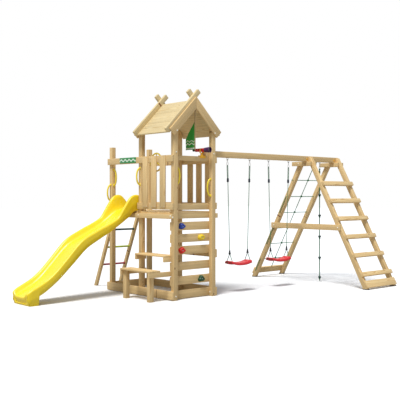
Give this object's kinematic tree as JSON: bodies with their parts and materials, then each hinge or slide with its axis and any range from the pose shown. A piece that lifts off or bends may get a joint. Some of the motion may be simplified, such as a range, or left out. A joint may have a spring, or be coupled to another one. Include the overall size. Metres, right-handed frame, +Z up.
{
  "type": "play tower with slide",
  "caption": "Wooden climbing tower with a pitched roof, wave slide, bench and table, climbing wall, ladder, swing beam with seats and an A-frame with stair and net.",
  "frame": {"origin": "middle of the foot of the tower's front near post, on the ground", "axes": "+Z up; +X along the swing beam, away from the slide; +Y from the climbing wall to the ladder end"},
  "size_m": [5.6603, 3.3767, 3.0291],
  "materials": {
    "pine": "matte",
    "pale_pine": "matte",
    "slide_plastic": "semi-gloss",
    "yellow_plastic": "semi-gloss",
    "orange_plastic": "semi-gloss",
    "red_plastic": "semi-gloss",
    "blue_plastic": "semi-gloss",
    "lime_plastic": "semi-gloss",
    "green_plastic": "semi-gloss",
    "black_plastic": "matte",
    "green_rope": "matte",
    "green_cloth": "matte"
  },
  "bodies": {
    "tower": {"post_front_near": "pine", "post_front_far": "pine", "post_mid_near": "pine", "post_mid_far": "pine", "post_end_near": "pine", "post_end_far": "pine", "balustrade_near": "pine", "balustrade_far": "pine", "rail_top_front": "pine", "kick_board_front": "pine", "base_boards": "pine", "side_board_far": "pine", "deck": "pine", "climbing_plank_1": "pine", "climbing_plank_2": "pine", "climbing_plank_3": "pine", "climbing_plank_4": "pine", "climbing_plank_5": "pine", "climbing_plank_6": "pine", "hold_blue": "blue_plastic", "hold_yellow": "yellow_plastic", "hold_red": "red_plastic", "hold_green": "green_plastic", "roof_slope_near": "pale_pine", "roof_slope_far": "pale_pine", "gable_front": "pine", "gable_rear": "pine", "bench": "pine", "table": "pine", "slide": "slide_plastic", "ladder_stile_near": "pine", "ladder_stile_far": "pine", "ladder_rung_red": "red_plastic", "ladder_rung_lime": "lime_plastic", "ladder_rung_green": "green_plastic", "handle_front_near": "yellow_plastic", "handle_front_far": "yellow_plastic", "handle_mid_near": "yellow_plastic", "handle_end_near": "yellow_plastic", "handle_end_inner": "yellow_plastic", "wheel_axle": "black_plastic", "sign_panel": "green_plastic", "flag_pole": "green_plastic", "flag": "green_cloth", "telescope_base": "orange_plastic", "swing_beam": "pine", "stair": "pine", "net_frame": "pine", "net_rope": "green_rope"},
    "swing_1": {"swing_1_rope_left": "green_rope", "swing_1_rope_right": "green_rope", "swing_1_seat": "red_plastic"},
    "swing_2": {"swing_2_rope_left": "green_rope", "swing_2_rope_right": "green_rope", "swing_2_seat": "red_plastic"},
    "knob_rope": {"knob_rope": "green_rope"},
    "telescope_yoke": {"telescope_yoke": "orange_plastic"},
    "telescope_tube": {"telescope_tube": "red_plastic"},
    "steering_wheel": {"steering_wheel": "yellow_plastic"}
  },
  "joints": [
    {"name": "swing_1_hinge", "type": "hinge", "parent": "tower", "child": "swing_1", "pos_m": [1.356, 0.0803, 2.0303], "axis": [1, 0, 0], "range_deg": [-60, 60]},
    {"name": "swing_2_hinge", "type": "hinge", "parent": "tower", "child": "swing_2", "pos_m": [2.2715, 0.0803, 2.0303], "axis": [1, 0, 0], "range_deg": [-60, 60]},
    {"name": "knob_rope_hinge", "type": "hinge", "parent": "tower", "child": "knob_rope", "pos_m": [3.323, 0.0803, 2.0303], "axis": [1, 0, 0], "range_deg": [-20, 20]},
    {"name": "telescope_pan", "type": "hinge", "parent": "tower", "child": "telescope_yoke", "pos_m": [0.565, 0.0578, 2.1083], "axis": [0, 0, 1], "range_deg": [-28, 18]},
    {"name": "telescope_tilt", "type": "hinge", "parent": "telescope_yoke", "child": "telescope_tube", "pos_m": [0.565, 0.0578, 2.155], "axis": [0.9751, 0.2215, 0], "range_deg": [-20, 12]},
    {"name": "steering_wheel_turn", "type": "hinge", "parent": "tower", "child": "steering_wheel", "pos_m": [0.02, 0.441, 1.972], "axis": [1, 0, 0], "continuous": true}
  ]
}
